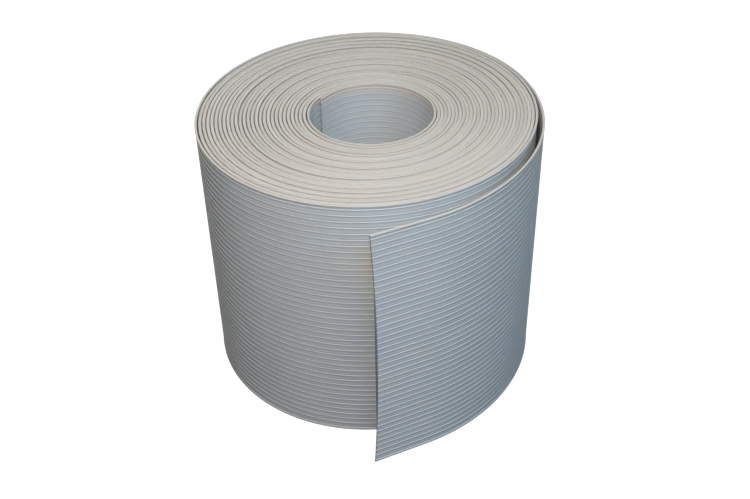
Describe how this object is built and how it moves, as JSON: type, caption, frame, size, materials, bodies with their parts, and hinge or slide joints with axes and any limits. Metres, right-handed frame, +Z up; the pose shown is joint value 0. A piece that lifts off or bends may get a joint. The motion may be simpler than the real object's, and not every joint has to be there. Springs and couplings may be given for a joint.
{
  "type": "ribbed plastic strip roll",
  "caption": "Coreless roll of ribbed grey plastic strip standing on end, its outer end springing free of the coil; cut lengths wrap a trunk as a guard.",
  "frame": {"origin": "on the coil's axis, in the plane of the floor that the roll stands on", "axes": "+Z up along the coil's axis, which is also the strip's width; -Y towards the loose end's cut edge; the strip winds clockwise outwards, seen from above"},
  "size_m": [0.2363, 0.2654, 0.19],
  "materials": {
    "ribbed_plastic": "light grey extruded plastic, satin, finely ribbed along its length on both faces, with paler cut edges"
  },
  "bodies": {
    "coil_outer": {"turn_25": "ribbed_plastic", "turn_26": "ribbed_plastic", "turn_27": "ribbed_plastic", "turn_28": "ribbed_plastic", "turn_29": "ribbed_plastic", "outer_wrap": "ribbed_plastic", "loose_end_base": "ribbed_plastic"},
    "coil_5": {"turn_20": "ribbed_plastic", "turn_21": "ribbed_plastic", "turn_22": "ribbed_plastic", "turn_23": "ribbed_plastic", "turn_24": "ribbed_plastic"},
    "coil_4": {"turn_15": "ribbed_plastic", "turn_16": "ribbed_plastic", "turn_17": "ribbed_plastic", "turn_18": "ribbed_plastic", "turn_19": "ribbed_plastic"},
    "coil_3": {"turn_10": "ribbed_plastic", "turn_11": "ribbed_plastic", "turn_12": "ribbed_plastic", "turn_13": "ribbed_plastic", "turn_14": "ribbed_plastic"},
    "coil_2": {"turn_05": "ribbed_plastic", "turn_06": "ribbed_plastic", "turn_07": "ribbed_plastic", "turn_08": "ribbed_plastic", "turn_09": "ribbed_plastic"},
    "coil_core": {"turn_01": "ribbed_plastic", "turn_02": "ribbed_plastic", "turn_03": "ribbed_plastic", "turn_04": "ribbed_plastic"},
    "inner_end": {"inner_end": "ribbed_plastic"},
    "loose_1": {"loose_end_1": "ribbed_plastic"},
    "loose_2": {"loose_end_2": "ribbed_plastic"},
    "loose_3": {"loose_end_3": "ribbed_plastic"},
    "loose_4": {"loose_end_4": "ribbed_plastic"},
    "loose_tip": {"loose_end_tip": "ribbed_plastic"}
  },
  "joints": [
    {"name": "coil_5_lift", "type": "slide", "parent": "coil_outer", "child": "coil_5", "axis": [0, 0, 1], "range_m": [0, 0.009]},
    {"name": "coil_4_lift", "type": "slide", "parent": "coil_5", "child": "coil_4", "axis": [0, 0, 1], "range_m": [0, 0.009]},
    {"name": "coil_3_lift", "type": "slide", "parent": "coil_4", "child": "coil_3", "axis": [0, 0, 1], "range_m": [0, 0.009]},
    {"name": "coil_2_lift", "type": "slide", "parent": "coil_3", "child": "coil_2", "axis": [0, 0, 1], "range_m": [0, 0.009]},
    {"name": "coil_core_lift", "type": "slide", "parent": "coil_2", "child": "coil_core", "axis": [0, 0, 1], "range_m": [0, 0.009]},
    {"name": "inner_end_bend", "type": "hinge", "parent": "coil_core", "child": "inner_end", "pos_m": [0.00301, 0.03496, 0], "axis": [0, 0, 1], "range_deg": [0, 15], "stiffness_Nm_per_rad": 0.7},
    {"name": "loose_1_bend", "type": "hinge", "parent": "coil_outer", "child": "loose_1", "pos_m": [0.11822, -0.01076, 0], "axis": [0, 0, 1], "range_deg": [-2, 24], "stiffness_Nm_per_rad": 0.65},
    {"name": "loose_2_bend", "type": "hinge", "parent": "loose_1", "child": "loose_2", "pos_m": [0.10971, -0.05171, 0], "axis": [0, 0, 1], "range_deg": [-2, 24], "stiffness_Nm_per_rad": 0.65},
    {"name": "loose_3_bend", "type": "hinge", "parent": "loose_2", "child": "loose_3", "pos_m": [0.08916, -0.08816, 0], "axis": [0, 0, 1], "range_deg": [-4, 24], "stiffness_Nm_per_rad": 0.65},
    {"name": "loose_4_bend", "type": "hinge", "parent": "loose_3", "child": "loose_4", "pos_m": [0.0588, -0.11695, 0], "axis": [0, 0, 1], "range_deg": [-5, 24], "stiffness_Nm_per_rad": 0.65},
    {"name": "loose_tip_bend", "type": "hinge", "parent": "loose_4", "child": "loose_tip", "pos_m": [0.02158, -0.1362, 0], "axis": [0, 0, 1], "range_deg": [-8, 12], "stiffness_Nm_per_rad": 0.65}
  ],
  "couplings": [
    {"joint": "coil_4_lift", "follows": "coil_5_lift", "ratio": 1},
    {"joint": "coil_3_lift", "follows": "coil_5_lift", "ratio": 1},
    {"joint": "coil_2_lift", "follows": "coil_5_lift", "ratio": 1},
    {"joint": "coil_core_lift", "follows": "coil_5_lift", "ratio": 1}
  ]
}
